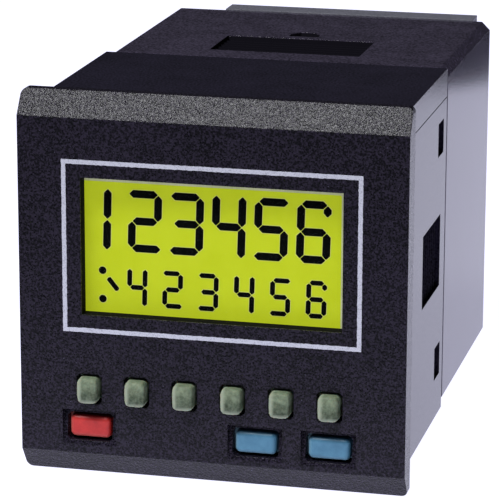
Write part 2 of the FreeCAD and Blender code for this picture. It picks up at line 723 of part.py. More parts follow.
def make_boards():
    """Display board, the two side boards and the rear board."""
    across = centred("board_half", "board_half_z")
    plate("display_board", "front", "display_board_y", "board_back", [across])
    edge = "side_board_height / 2"
    flat = ("side_board_start", "side_board_end") + around("0", edge)
    for label, sense in (("power_board", 1), ("logic_board", -1)):
        near = "side_board_offset - board_thickness / 2"
        left, right = span(near, "side_board_offset + board_thickness / 2", sense)
        plate(label, "side", left, right, [flat])
    rear = centred("inner_half - link_board_edge", "rear_inner_z - link_board_edge")
    plate("terminal_board", "front", "link_board_y", "link_board_back", [rear])


def make_electronics():
    """The larger components on the boards."""
    chip = centred("processor_size / 2", "processor_size / 2")
    chip_end = "board_back + stack_gap + processor_thickness"
    plate("processor_chip", "front", "board_back + stack_gap", chip_end, [chip])
    memory = box_about("processor_size", "memory_size / 2", "0", "memory_size / 2")
    plate("memory_chip", "front", "board_back + stack_gap", chip_end, [memory])
    headers = []
    for sense in (1, -1):
        sides = span("part_side - header_width", "part_side", sense)
        headers.append(sides + around("0", "header_height / 2"))
    header_end = "side_board_start + header_overlap"
    plate("board_headers", "front", "board_back + stack_gap", header_end, headers)
    for number in (1, 2):
        base = "relay_base + %d * (relay_height + relay_gap)" % (number - 1)
        case = ("relay_start", "relay_start + relay_length", base, base + " + relay_height")
        plate("output_relay_%d" % number, "side", "-part_side", "relay_depth - part_side", [case])
    make_transformer()
    can = ("capacitor_y", "capacitor_z", "capacitor_radius")
    plate("filter_capacitor", "side", "part_side - capacitor_length", "part_side", (), [can])
    disc = ("absorber_y", "capacitor_z", "absorber_radius")
    plate("surge_absorber", "side", "part_side - absorber_thickness", "part_side", (), [disc])


def make_transformer():
    """Mains transformer: laminated core with a coil round its middle leg."""
    frame = ("core_start", "core_end", "core_base", "core_top")
    low = "core_base + core_leg"
    high = "core_top - core_leg"
    front_window = ("core_start + core_leg", "middle_leg_start", low, high)
    rear_window = ("middle_leg_end", "core_end - core_leg", low, high)
    plate("transformer_core", "side", "core_far", "core_near", [frame, front_window, rear_window])
    wound = around("(core_near + core_far) / 2", "core_stack / 2 + coil_build")
    wound += ("core_start + core_leg + fit_gap", "core_end - core_leg - fit_gap")
    hollow = ("core_far - stack_gap", "core_near + stack_gap")
    hollow += ("middle_leg_start - stack_gap", "middle_leg_end + stack_gap")
    plate("transformer_coil", "top", low + " + fit_gap", high + " - fit_gap", [wound, hollow])


def check_document():
    """Stop if any feature failed or any sub-part is empty or faulty."""
    document.recompute()
    for item in document.Objects:
        if "Invalid" in item.State or "Error" in item.State:
            raise RuntimeError("failed feature: " + item.Name)
    for body in subparts:
        if body.Shape.isNull() or not body.Shape.isValid() or body.Shape.Volume <= 0:
            raise RuntimeError("faulty sub-part: " + body.Label)


def write_parts():
    """Write each sub-part to its own STEP file."""
    os.makedirs("parts", exist_ok=True)
    for body in subparts:
        body.Shape.exportStep("parts/%s.step" % body.Label)
        print("%-24s %9.2f mm3, %d solids" % (body.Label, body.Shape.Volume, len(body.Shape.Solids)))


fill_sheet()
make_front_frame()
make_gasket()
for key_place in keys():
    make_key(*key_place)
make_keymat()
make_display()
make_front_body()
make_top_cover()
make_rear_housing()
for row_name, row_sense in (("upper", 1), ("lower", -1)):
    make_terminals(row_name, row_sense)
make_boards()
make_electronics()
check_document()
write_parts()
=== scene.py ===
import math
import random

import bmesh
import bpy
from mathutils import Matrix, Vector


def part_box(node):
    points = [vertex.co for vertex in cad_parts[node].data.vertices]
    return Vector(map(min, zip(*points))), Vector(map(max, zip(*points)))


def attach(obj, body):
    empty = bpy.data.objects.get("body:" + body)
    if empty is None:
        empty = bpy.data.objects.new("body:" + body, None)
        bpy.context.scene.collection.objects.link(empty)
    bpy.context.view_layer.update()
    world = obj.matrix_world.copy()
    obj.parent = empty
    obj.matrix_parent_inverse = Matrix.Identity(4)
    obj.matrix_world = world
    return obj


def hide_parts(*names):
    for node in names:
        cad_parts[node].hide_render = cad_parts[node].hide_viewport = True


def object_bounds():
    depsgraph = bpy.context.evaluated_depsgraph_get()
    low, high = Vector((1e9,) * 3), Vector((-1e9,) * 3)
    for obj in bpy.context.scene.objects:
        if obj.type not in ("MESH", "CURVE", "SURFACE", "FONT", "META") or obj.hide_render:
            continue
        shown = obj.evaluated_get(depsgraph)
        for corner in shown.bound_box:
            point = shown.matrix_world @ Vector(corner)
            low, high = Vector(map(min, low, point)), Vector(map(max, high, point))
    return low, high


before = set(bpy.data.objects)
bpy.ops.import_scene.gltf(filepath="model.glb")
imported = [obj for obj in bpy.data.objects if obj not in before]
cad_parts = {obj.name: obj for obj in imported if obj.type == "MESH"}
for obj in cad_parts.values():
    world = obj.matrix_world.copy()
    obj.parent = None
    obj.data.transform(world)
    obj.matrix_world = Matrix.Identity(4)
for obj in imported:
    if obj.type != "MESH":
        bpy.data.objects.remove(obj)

# The looks of a panel-mounted preset timer: its plastics, its lit display and
# its soft keys. Everything is in metres, in the frame of the CAD model, whose
# origin is the centre of the panel seat: X right, Y backwards, Z up.

MM = 0.001
CAD_LOW, CAD_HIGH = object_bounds()


# Places that follow from the CAD model.

FACE_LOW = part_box("front_frame")[0]
PANE_LOW, PANE_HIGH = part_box("window_pane")
DISPLAY_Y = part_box("display_front_glass")[0].y
PANE_MARGIN = 1.6 * MM
WINDOW_LEFT = PANE_LOW.x + PANE_MARGIN
WINDOW_RIGHT = PANE_HIGH.x - PANE_MARGIN
WINDOW_BOTTOM = PANE_LOW.z + PANE_MARGIN
WINDOW_TOP = PANE_HIGH.z - PANE_MARGIN


# Materials. Each is built from noise in the object's own coordinates.

# The range that most of a noise's values fall in.
NOISE_LOW, NOISE_HIGH = 0.3, 0.7

class Surface:
    """A material with a Principled shader, and short ways to wire noise into it."""

    def __init__(self, name):
        self.material = bpy.data.materials.new(name)
        self.material.use_nodes = True
        self.nodes = self.material.node_tree.nodes
        self.links = self.material.node_tree.links
        self.shader = self.nodes["Principled BSDF"]
        coordinates = self.nodes.new("ShaderNodeTexCoord").outputs
        self.place = coordinates["Object"]
        self.share = coordinates["Generated"]

    def set(self, **values):
        """Constants on the shader's own sockets, with underscores for spaces."""
        for name, value in values.items():
            self.shader.inputs[name.replace("_", " ")].default_value = value
        return self

    def noise(self, size, detail=3.0, roughness=0.55, stretch=(1.0, 1.0, 1.0)):
        """Noise whose features are about size metres across."""
        mapping = self.nodes.new("ShaderNodeMapping")
        mapping.inputs["Scale"].default_value = stretch
        self.links.new(self.place, mapping.inputs["Vector"])
        texture = self.nodes.new("ShaderNodeTexNoise")
        texture.inputs["Scale"].default_value = 1.0 / size
        texture.inputs["Detail"].default_value = detail
        texture.inputs["Roughness"].default_value = roughness
        self.links.new(mapping.outputs["Vector"], texture.inputs["Vector"])
        return texture.outputs["Fac"]

    def spread(self, value, low, high, to_low=0.0, to_high=1.0):
        """value's stretch from low to high, mapped to to_low and to_high."""
        node = self.nodes.new("ShaderNodeMapRange")
        node.inputs["From Min"].default_value = low
        node.inputs["From Max"].default_value = high
        node.inputs["To Min"].default_value = to_low
        node.inputs["To Max"].default_value = to_high
        self.links.new(value, node.inputs["Value"])
        return node.outputs["Result"]

    def level(self, noise, to_low=0.0, to_high=1.0):
        """A noise's usual range, mapped to to_low and to_high."""
        return self.spread(noise, NOISE_LOW, NOISE_HIGH, to_low, to_high)

    def mottle(self, fine):
        """A tint that is mostly fine grain, with a little broad unevenness."""
        broad = self.noise(4.0 * MM, detail=3.0)
        return self.sum(self.level(broad, 0.0, 0.2), self.level(fine), 0.8)

    def sum(self, first, second, share):
        """first plus share of second."""
        return self.calculate("MULTIPLY_ADD", second, share, first)

    def larger(self, first, second):
        """The larger of two values."""
        return self.calculate("MAXIMUM", first, second)

    def blend(self, factor, first, second):
        """A colour between first and second, which are colours or sockets."""
        node = self.nodes.new("ShaderNodeMix")
        node.data_type = "RGBA"
        self.links.new(factor, node.inputs["Factor"])
        for socket, colour in ((node.inputs[6], first), (node.inputs[7], second)):
            if isinstance(colour, tuple):
                socket.default_value = (*colour, 1.0)
            else:
                self.links.new(colour, socket)
        return node.outputs[2]

    def colour(self, socket, emission=False):
        self.links.new(socket, self.shader.inputs["Base Color"])
        if emission:
            self.glow(socket)
        return self

    def glow(self, socket):
        self.links.new(socket, self.shader.inputs["Emission Color"])
        return self

    def roughness(self, socket):
        self.links.new(socket, self.shader.inputs["Roughness"])
        return self

    def bump(self, height, depth, rounded=0.0):
        """Relief of depth metres, with edges rounded to a radius in metres."""
        node = self.nodes.new("ShaderNodeBump")
        node.inputs["Strength"].default_value = 1.0
        node.inputs["Distance"].default_value = depth
        self.links.new(height, node.inputs["Height"])
        if rounded:
            edge = self.nodes.new("ShaderNodeBevel")
            edge.samples = 4
            edge.inputs["Radius"].default_value = rounded
            self.links.new(edge.outputs["Normal"], node.inputs["Normal"])
        self.links.new(node.outputs["Normal"], self.shader.inputs["Normal"])
        return self

    def component(self, vector, name):
        """The X, Y or Z part of a vector."""
        node = self.nodes.new("ShaderNodeSeparateXYZ")
        self.links.new(vector, node.inputs["Vector"])
        return node.outputs[name]

    def along(self, name):
        """The object's own X, Y or Z coordinate, in metres."""
        return self.component(self.place, name)

    def calculate(self, operation, *inputs):
        """A math node on sockets and numbers."""
        node = self.nodes.new("ShaderNodeMath")
        node.operation = operation
        for i, value in enumerate(inputs):
            if isinstance(value, float):
                node.inputs[i].default_value = value
            else:
                self.links.new(value, node.inputs[i])
        return node.outputs["Value"]

    def inside_box(self, low, high, mirrored=False):
        """1 inside a box in the object's coordinates, and in its mirror image below."""
        inside = 1.0
        for name, start, end in zip("XYZ", low, high):
            value = self.along(name)
            if mirrored and name == "Z":
                value = self.calculate("ABSOLUTE", value)
            near = self.calculate("COMPARE", value, (start + end) / 2, (end - start) / 2)
            inside = self.calculate("MULTIPLY", inside, near)
        return inside

    def within(self, name):
        """Where a point lies in the object's box along an axis, from 0 to 1."""
        return self.component(self.share, name)


def linear(red, green, blue):
    """A colour given in display values from 0 to 255, as linear light."""
    def one(value):
        share = value / 255.0
        if share <= 0.04045:
            return share / 12.92
        return ((share + 0.055) / 1.055) ** 2.4
    return (one(red), one(green), one(blue))


def moulded(name, dark, light, grain=0.4 * MM, relief=0.02 * MM, rough=(0.24, 0.28),
            specular=0.5, rounded=0.1 * MM):
    """Injection-moulded plastic with a fine spark-eroded grain."""
    s = Surface(name)
    fine = s.noise(grain, detail=2.0)
    s.colour(s.blend(s.mottle(fine), dark, light))
    s.roughness(s.level(fine, *rough))
    s.bump(fine, relief, rounded)
    s.set(Specular_IOR_Level=specular)
    return s.material


# The window's inner walls, from just behind the face to the pane, which the front frame's
# colour paints dark as shade.
WALL_MARGIN = 0.05 * MM
WALL_START = FACE_LOW.y + 0.12 * MM
WALL_LOW = (WINDOW_LEFT - WALL_MARGIN, WALL_START, WINDOW_BOTTOM - WALL_MARGIN)
WALL_HIGH = (WINDOW_RIGHT + WALL_MARGIN, PANE_LOW.y, WINDOW_TOP + WALL_MARGIN)


def frame_plastic():
    """The front frame's coarser grain, which glitters on its upper bevel, with painted shade
    darkening the window's inner walls.
    """
    s = Surface("front_frame_plastic")
    fine = s.noise(0.3 * MM, detail=2.0, roughness=0.6)
    coarse = s.noise(0.9 * MM, detail=1.0)
    broad = s.noise(7.0 * MM, detail=3.0)
    dust = s.spread(s.noise(0.2 * MM, detail=0.0), 0.8, 0.86)
    speckle = s.spread(s.noise(0.22 * MM, detail=1.0), 0.42, 0.62)
    tint = s.sum(s.level(broad, 0.0, 0.15), speckle, 0.85)
    plain = s.blend(tint, linear(3, 3, 6), linear(45, 40, 54))
    # Painted shade: inside the window the walls are coloured almost black, as if in shade.
    painted_shade_walls = s.inside_box(WALL_LOW, WALL_HIGH)
    worn = s.blend(dust, plain, linear(84, 82, 100))
    s.colour(s.blend(painted_shade_walls, worn, linear(4, 4, 6)))
    s.roughness(s.larger(s.spread(fine, 0.35, 0.65, 0.14, 0.28), painted_shade_walls))
    s.bump(s.sum(fine, coarse, 0.3), 0.09 * MM, 0.15 * MM)
    s.set(Specular_IOR_Level=0.17)
    return s.material


# The upper clip pocket with the release notch behind it. The lower one mirrors it.
POCKET_LOW = (-10.05 * MM, 35.2 * MM, 21.2 * MM)
POCKET_HIGH = (10.05 * MM, 50.2 * MM, 22.3 * MM)


def rear_plastic():
    """The rear half: glossier and a little greyer, with painted shade darkening its clip
    pockets, which are also dull.
    """
    s = Surface("rear_housing_plastic")
    fine = s.noise(0.3 * MM, detail=2.0)
    # Painted shade: inside the clip pockets the colour is darkened, as if in shade.
    painted_shade_pocket = s.inside_box(POCKET_LOW, POCKET_HIGH, mirrored=True)
    plain = s.blend(s.mottle(fine), linear(12, 10, 18), linear(86, 79, 100))
    s.colour(s.blend(painted_shade_pocket, plain, linear(24, 22, 31)))
    dull = s.spread(painted_shade_pocket, 0.0, 1.0, 0.0, 0.95)
    s.roughness(s.larger(s.level(fine, 0.09, 0.15), dull))
    s.bump(fine, 0.006 * MM, 0.1 * MM)
    s.set(Specular_IOR_Level=0.12)
    return s.material


def soft_rubber(name, dark, light, painted_highlight_rim, patch=0.55 * MM):
    """Matt silicone with cloudy patches, with painted light making its upper part lighter and a
    painted highlight along its left and bottom edges.
    """
    s = Surface(name)
    cloud = s.noise(patch, detail=4.0, roughness=0.65)
    fine = s.noise(0.12 * MM, detail=2.0)
    # Painted light: the upper part is coloured lighter, as if lit from above.
    upper = s.spread(s.within("Z"), 0.42, 0.72)
    body = s.blend(s.sum(s.spread(cloud, 0.36, 0.64, 0.0, 0.5), upper, 0.5), dark, light)
    # Painted highlight: a paler rim along the left and bottom edges.
    left = s.spread(s.within("X"), 0.34, 0.21)
    low = s.spread(s.within("Z"), 0.2, 0.04)
    edge = s.larger(left, low)
    s.colour(s.blend(s.spread(edge, 0.0, 1.0, 0.0, 0.85), body, painted_highlight_rim))
    s.roughness(s.level(fine, 0.5, 0.68))
    s.bump(s.sum(cloud, fine, 0.5), 0.05 * MM)
    s.set(Specular_IOR_Level=0.4, Subsurface_Weight=0.12, Subsurface_Scale=0.4 * MM)
    return s.material


def key_plastic(name, dark, light, painted_highlight_rim):
    """Satin plastic of a wide key, with a painted highlight along its left and bottom edges and
    painted shadow across its top.
    """
    s = Surface(name)
    cloud = s.noise(0.9 * MM, detail=4.0)
    fine = s.noise(0.14 * MM, detail=2.0)
    body = s.blend(s.sum(s.level(cloud, 0.0, 0.7), fine, 0.3), dark, light)
    # Painted highlight: a paler rim along the left and bottom edges.
    left = s.spread(s.within("X"), 0.175, 0.115)
    low = s.spread(s.within("Z"), 0.17, 0.05)
    highlight_rimmed = s.blend(s.spread(s.larger(left, low), 0.0, 1.0, 0.0, 0.55), body, painted_highlight_rim)
    # Painted shadow: the top is coloured darker, as if shaded by the recess's upper lip.
    painted_lip_shadow = s.spread(s.within("Z"), 0.7, 1.0, 0.0, 0.8)
    s.colour(s.blend(painted_lip_shadow, highlight_rimmed, tuple(0.25 * value for value in dark)))
    s.roughness(s.level(cloud, 0.36, 0.5))
    s.bump(fine, 0.012 * MM, 0.15 * MM)
    s.set(Specular_IOR_Level=0.4)
    return s.material


def lit_sheet(name, dark, light, glow, patch=3.0 * MM):
    """A backlit sheet of the display, slightly uneven in brightness."""
    s = Surface(name)
    cloud = s.noise(patch, detail=2.0)
    grain = s.noise(0.3 * MM, detail=1.0)
    tint = s.sum(s.level(cloud, 0.0, 0.75), grain, 0.25)
    s.colour(s.blend(tint, dark, light), emission=True)
    s.roughness(s.level(grain, 0.3, 0.4))
    s.set(Emission_Strength=glow, Specular_IOR_Level=0.02)
    return s.material


def clear_sheet(name):
    """A clear acrylic window with faint wipe marks."""
    s = Surface(name)
    smear = s.noise(2.5 * MM, detail=4.0, stretch=(0.3, 1.0, 1.0))
    s.colour(s.blend(smear, (0.01, 0.012, 0.012), (0.03, 0.032, 0.032)))
    s.roughness(s.spread(smear, 0.35, 0.65, 0.03, 0.12))
    s.set(Alpha=0.03, Specular_IOR_Level=0.3)
    return s.material


def printed_ink(name, dark, light):
    """Screen-printed ink with a few thin spots."""
    s = Surface(name)
    spots = s.noise(0.16 * MM, detail=3.0)
    s.colour(s.blend(s.spread(spots, 0.28, 0.5), dark, light))
    s.roughness(s.level(spots, 0.45, 0.6))
    s.bump(spots, 0.008 * MM)
    s.set(Specular_IOR_Level=0.02)
    return s.material


def metal(name, dark, light, rough=(0.25, 0.4), stretch=(1.0, 1.0, 1.0)):
    """Bare or plated metal with drawn or turned marks."""
    s = Surface(name)
    marks = s.noise(0.5 * MM, detail=4.0, stretch=stretch)
    s.colour(s.blend(marks, dark, light))
    s.roughness(s.level(marks, *rough))
    s.bump(marks, 0.008 * MM, 0.08 * MM)
    s.set(Metallic=1.0)
    return s.material


def board_laminate(name):
    """Green solder mask over a woven glass board."""
    s = Surface(name)
    weave = s.noise(0.5 * MM, detail=1.0, stretch=(1.0, 1.0, 3.0))
    s.colour(s.blend(weave, linear(18, 74, 44), linear(34, 104, 62)))
    s.roughness(s.level(weave, 0.28, 0.42))
    s.bump(weave, 0.01 * MM)
    return s.material


def finishes():
    """A material for each of the CAD model's material slots."""
    black = moulded("housing_side_plastic", linear(4, 3, 9), linear(48, 44, 62),
                    0.3 * MM, 0.012 * MM, (0.14, 0.22), 0.14)
    return {
        "housing_plastic": black,
        "gasket_rubber": moulded("gasket_foam_rubber", linear(14, 14, 16), linear(26, 26, 28),
                                 0.15 * MM, 0.03 * MM, (0.6, 0.8), 0.2),
        "decade_key_rubber": soft_rubber("decade_key_silicone", linear(52, 66, 42),
                                         linear(138, 153, 124), linear(168, 178, 152)),
        "reset_key_plastic": key_plastic("reset_key_red", linear(180, 36, 33),
                                         linear(212, 56, 50), linear(232, 128, 116)),
        "function_key_plastic": key_plastic("function_key_blue", linear(66, 118, 146),
                                            linear(88, 142, 168), linear(150, 190, 204)),
        "keymat_silicone": soft_rubber("keymat_grey", linear(84, 86, 88),
                                       linear(104, 106, 108), linear(116, 118, 120)),
        "clear_pane": clear_sheet("window_acrylic"),
        "display_glass": lit_sheet("display_glass_lit", linear(166, 172, 128),
                                   linear(186, 190, 156), 0.5),
        "guide_acrylic": lit_sheet("light_guide_lit", linear(190, 204, 60),
                                   linear(214, 226, 96), 0.4),
        "white_film": moulded("reflector_white", linear(214, 216, 218), linear(236, 238, 240),
                              0.3 * MM, 0.004 * MM, (0.4, 0.5)),
        "lamp_resin": moulded("lamp_cream", linear(206, 200, 160), linear(228, 224, 190)),
        "holder_plastic": moulded("holder_dark_grey", linear(30, 30, 34), linear(42, 42, 48)),
        "contact_rubber": moulded("contact_strip_rose", linear(150, 96, 96),
                                  linear(176, 120, 116), rough=(0.5, 0.7)),
        "terminal_plastic": moulded("terminal_light_grey", linear(96, 96, 106),
                                    linear(138, 138, 150), 0.3 * MM, 0.02 * MM, (0.38, 0.5)),
        "clamp_brass": metal("clamp_plated_brass", linear(176, 160, 110),
                             linear(206, 192, 142)),
        "screw_steel": metal("screw_zinc_steel", linear(158, 160, 166), linear(206, 208, 212),
                             (0.22, 0.36), (1.0, 4.0, 1.0)),
        "board_laminate": board_laminate("board_green"),
        "chip_resin": moulded("chip_black_resin", linear(22, 22, 24), linear(36, 36, 38)),
        "header_plastic": moulded("header_black", linear(20, 20, 22), linear(32, 32, 34)),
        "relay_case": moulded("relay_blue_case", linear(38, 62, 108), linear(54, 82, 132)),
        "core_steel": metal("core_laminations", linear(98, 98, 102), linear(140, 140, 144),
                            (0.4, 0.55), (6.0, 0.5, 0.5)),
        "coil_copper": metal("coil_enamelled_copper", linear(150, 78, 34),
                             linear(196, 112, 56), (0.3, 0.42), (1.0, 8.0, 1.0)),
        "capacitor_can": metal("capacitor_aluminium", linear(150, 152, 158),
                               linear(186, 188, 194), (0.3, 0.42), (1.0, 1.0, 5.0)),
        "absorber_coating": moulded("absorber_blue_lacquer", linear(34, 84, 140),
                                    linear(52, 108, 168), rough=(0.2, 0.32)),
    }


def dress_cad(made):
    """Each CAD node gets the finish of its own material slot."""
    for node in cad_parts.values():
        for holder in node.material_slots:
            holder.material = made[holder.material.name.split(".")[0]]


# New pieces.

def mesh_object(name, source, material):
    """An object made from a bmesh, which is used up."""
    mesh = bpy.data.meshes.new(name)
    source.to_mesh(mesh)
    source.free()
    mesh.materials.append(material)
    made_object = bpy.data.objects.new(name, mesh)
    bpy.context.scene.collection.objects.link(made_object)
    return made_object


def new_piece(name, source, material, body="housing", smooth=False):
    """A closed piece made from a bmesh, riding on a body."""
    bmesh.ops.recalc_face_normals(source, faces=source.faces)
    piece = mesh_object(name, source, material)
    for polygon in piece.data.polygons:
        polygon.use_smooth = smooth
    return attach(piece, body)


def add_plate(target, outline, back, front):
    """A flat plate in the XZ plane, from its back Y to its front Y."""
    ends = []
    for y in (back, front):
        ends.append([target.verts.new((x, y, z)) for x, z in outline])
    target.faces.new(ends[0])
    target.faces.new(ends[1])
    count = len(outline)
    for i in range(count):
        j = (i + 1) % count
        target.faces.new((ends[0][i], ends[0][j], ends[1][j], ends[1][i]))


# The white line printed round the window.

BORDER_SIDE = 2.35 * MM
BORDER_END = 2.2 * MM
BORDER_LINE = 0.54 * MM
INK_HEIGHT = 0.02 * MM
INK_STEP = 0.3 * MM
INK_RAGGED = 0.022 * MM


def wander(chance):
    """A small random step, as ink creeps on plastic."""
    return Vector((chance.uniform(-INK_RAGGED, INK_RAGGED),
                   chance.uniform(-INK_RAGGED, INK_RAGGED)))


def ragged_loop(left, right, bottom, top, chance):
    """A rectangle's outline in short steps, wandering a little as ink does."""
    corners = [(left, bottom), (right, bottom), (right, top), (left, top)]
    points = []
    for i in range(4):
        start = Vector(corners[i])
        end = Vector(corners[(i + 1) % 4])
        steps = 2 * int((end - start).length / INK_STEP / 2)
        for k in range(steps):
            points.append(start.lerp(end, k / steps) + wander(chance))
    return points


def print_border():
    """Two ragged loops joined into one closed, very thin band."""
    chance = random.Random(4)
    left, right = WINDOW_LEFT - BORDER_SIDE, WINDOW_RIGHT + BORDER_SIDE
    bottom, top = WINDOW_BOTTOM - BORDER_END, WINDOW_TOP + BORDER_END
    outer = ragged_loop(left, right, bottom, top, chance)
    middle = Vector(((left + right) / 2, (bottom + top) / 2))
    half = Vector(((right - left) / 2, (top - bottom) / 2))
    shrink = Vector((1 - BORDER_LINE / half.x, 1 - BORDER_LINE / half.y))
    inner = []
    for point in outer:
        arm = point - middle
        inner.append(middle + Vector((arm.x * shrink.x, arm.y * shrink.y)) + wander(chance))
    band = bmesh.new()
    rings = []
    for y in (FACE_LOW.y, FACE_LOW.y - INK_HEIGHT):
        for loop in (outer, inner):
            rings.append([band.verts.new((p.x, y, p.y)) for p in loop])
    count = len(outer)
    for near, far in ((0, 1), (1, 3), (3, 2), (2, 0)):
        for i in range(count):
            j = (i + 1) % count
            band.faces.new((rings[near][i], rings[near][j], rings[far][j], rings[far][i]))
    ink = printed_ink("border_ink", linear(172, 173, 186), linear(212, 213, 224))
    new_piece("border_print", band, ink)


# The display: a tinted film with the segments on it, behind the clear pane.

LAYER = 0.004 * MM
LAYER_GAP = 0.005 * MM
FILM_BACK = DISPLAY_Y - LAYER_GAP
HALO_BACK = FILM_BACK - LAYER - LAYER_GAP
SEGMENT_BACK = HALO_BACK - LAYER - LAYER_GAP
FILM_RIGHT_INSET = 0.7 * MM
FILM_TOP_INSET = 0.88 * MM
FILM_OVERLAP = 1.4 * MM
FILM_CORNER = 0.25 * MM

SLANT = math.tan(math.radians(1.6))
HALO = 0.075 * MM

# Which segments each figure lights: top, right upper and lower, bottom, left
# lower and upper, middle. "k" is the six's short stub of an upper right bar.
FIGURES = {"1": "bc", "2": "abged", "3": "abgcd", "4": "fgbc", "5": "afgcd", "6": "akfgecd"}
# Each segment runs between two corners of the figure, as (column, row).
SEGMENT_ENDS = {
    "a": ((0, 2), (1, 2)),
    "b": ((1, 2), (1, 1)),
    "c": ((1, 1), (1, 0)),
    "d": ((0, 0), (1, 0)),
    "e": ((0, 1), (0, 0)),
    "f": ((0, 2), (0, 1)),
    "g": ((0, 1), (1, 1)),
    "k": ((1, 2), (1, 1)),
}
STUB_SHARE = 0.42


class Row:
    """One line of figures: its sizes and where its figures stand."""

    def __init__(self, text, last_right, pitch, span, bottom, top, width, tip, shoulder):
        self.text = text
        self.last_right = last_right
        self.pitch = pitch
        self.span = span
        self.bottom = bottom + width / 2
        self.top = top - width / 2
        self.half = width / 2
        self.tip = tip
        self.shoulder = shoulder


UPPER_ROW = Row(
    "123456", last_right=WINDOW_RIGHT - 2.46 * MM, pitch=5.21 * MM, span=3.22 * MM,
    bottom=WINDOW_TOP - 9.45 * MM, top=WINDOW_TOP - 1.72 * MM,
    width=0.97 * MM, tip=0.36 * MM, shoulder=0.44 * MM)
LOWER_ROW = Row(
    "423456", last_right=WINDOW_RIGHT - 2.72 * MM, pitch=4.45 * MM, span=1.93 * MM,
    bottom=WINDOW_BOTTOM + 0.85 * MM, top=WINDOW_BOTTOM + 5.57 * MM,
    width=0.61 * MM, tip=0.2 * MM, shoulder=0.23 * MM)
FIRST_ONE_SHIFT = -1.11 * MM
JOINT_GAP = 0.11 * MM
BLUNT_SHARE = 0.14

# The two dots and the bar at the left end of the lower row.
DOT_X = WINDOW_LEFT + 2.02 * MM
DOT_HEIGHTS = (WINDOW_BOTTOM + 5.1 * MM, WINDOW_BOTTOM + 1.52 * MM)
DOT_RADIUS = 0.48 * MM
BAR_TOP = Vector((DOT_X + 0.68 * MM, WINDOW_BOTTOM + 4.21 * MM))
BAR_BOTTOM = Vector((DOT_X + 1.93 * MM, WINDOW_BOTTOM + 2.68 * MM))
BAR_HALF = 0.31 * MM
BAR_SHOULDER = 0.12 * MM


def figure_segments(row, index, figure):
    """The two ends of each segment that one figure lights, leaning as the figures do."""
    right = row.last_right - row.pitch * (len(row.text) - 1 - index)
    if figure == "1":
        right += FIRST_ONE_SHIFT
    heights = (row.bottom, (row.bottom + row.top) / 2, row.top)
    lit = FIGURES[figure]
    used = {}
    for name in lit:
        for corner in SEGMENT_ENDS[name]:
            used[corner] = used.get(corner, 0) + 1
    middle = heights[1]
    segments = []
    for name in lit:
        ends = []
        for column, level in SEGMENT_ENDS[name]:
            x = right - row.span * (1 - column)
            ends.append(Vector((x, heights[level])))
        along = (ends[1] - ends[0]).normalized()
        for which, corner in enumerate(SEGMENT_ENDS[name]):
            free = used[corner] == 1
            outward = -along if which == 0 else along
            reach = row.tip if free and corner[1] != 1 else -JOINT_GAP
            ends[which] = ends[which] + outward * reach
        if name == "k":
            ends[1] = ends[0].lerp(ends[1], STUB_SHARE)
        segments.append([Vector((end.x + (end.y - middle) * SLANT, end.y)) for end in ends])
    return segments


def segment_outline(start, end, half, shoulder, grow):
    """A bar with pointed ends, grown outwards by grow for its pale surround."""
    along = (end - start).normalized()
    across = Vector((-along.y, along.x)) * (half + grow)
    start = start - along * grow
    end = end + along * grow
    blunt = across * BLUNT_SHARE
    return [
        start + blunt, start + along * shoulder + across,
        end - along * shoulder + across, end + blunt,
        end - blunt, end - along * shoulder - across,
        start + along * shoulder - across, start - blunt,
    ]


def round_outline(centre, radius, count=28):
    """A circle as a closed outline."""
    turns = [2 * math.pi * i / count for i in range(count)]
    return [centre + Vector((math.cos(t), math.sin(t))) * radius for t in turns]


def display_marks(grow):
    """Every dark mark of the display, grown by grow: both rows, two dots and a bar."""
    upper, lower = [], []
    for row, outlines in ((UPPER_ROW, upper), (LOWER_ROW, lower)):
        for index, figure in enumerate(row.text):
            for start, end in figure_segments(row, index, figure):
                outlines.append(segment_outline(start, end, row.half, row.shoulder, grow))
    for height in DOT_HEIGHTS:
        lower.append(round_outline(Vector((DOT_X, height)), DOT_RADIUS + grow))
    lower.append(segment_outline(BAR_TOP, BAR_BOTTOM, BAR_HALF, BAR_SHOULDER, grow))
    return upper, lower


def rounded_rectangle(left, right, bottom, top, radius, steps=6):
    """A rectangle's outline with round corners."""
    points = []
    corners = ((right, top, 0), (left, top, 1), (left, bottom, 2), (right, bottom, 3))
    for x, z, quarter in corners:
        inward_x = -1 if x == right else 1
        inward_z = -1 if z == top else 1
        centre = Vector((x + inward_x * radius, z + inward_z * radius))
        for k in range(steps + 1):
            turn = math.pi / 2 * (quarter + k / steps)
            points.append(centre + Vector((math.cos(turn), math.sin(turn))) * radius)
    return points


def build_display():
    """The tinted film, the pale surrounds and the dark segments, in that order."""
    film = bmesh.new()
    add_plate(film, rounded_rectangle(
        WINDOW_LEFT - FILM_OVERLAP, WINDOW_RIGHT - FILM_RIGHT_INSET,
        WINDOW_BOTTOM - FILM_OVERLAP, WINDOW_TOP - FILM_TOP_INSET, FILM_CORNER),
        FILM_BACK, FILM_BACK - LAYER)
    green = lit_sheet("display_film_green", linear(146, 158, 24), linear(151, 163, 30), 1.12)
    new_piece("display_film", film, green)

    surround = bmesh.new()
    upper, lower = display_marks(HALO)
    for outline in upper + lower:
        add_plate(surround, outline, HALO_BACK, HALO_BACK - LAYER)
    pale = lit_sheet("display_surround_pale", linear(176, 184, 84), linear(190, 196, 112), 0.55)
    new_piece("display_surrounds", surround, pale)

    upper, lower = display_marks(0.0)
    dark = printed_ink("display_segment_dark", linear(2, 3, 2), linear(7, 9, 6))
    for name, outlines in (("display_figures_upper", upper), ("display_figures_lower", lower)):
        marks = bmesh.new()
        for outline in outlines:
            add_plate(marks, outline, SEGMENT_BACK, SEGMENT_BACK - LAYER)
        new_piece(name, marks, dark)


# The six soft decade keys.

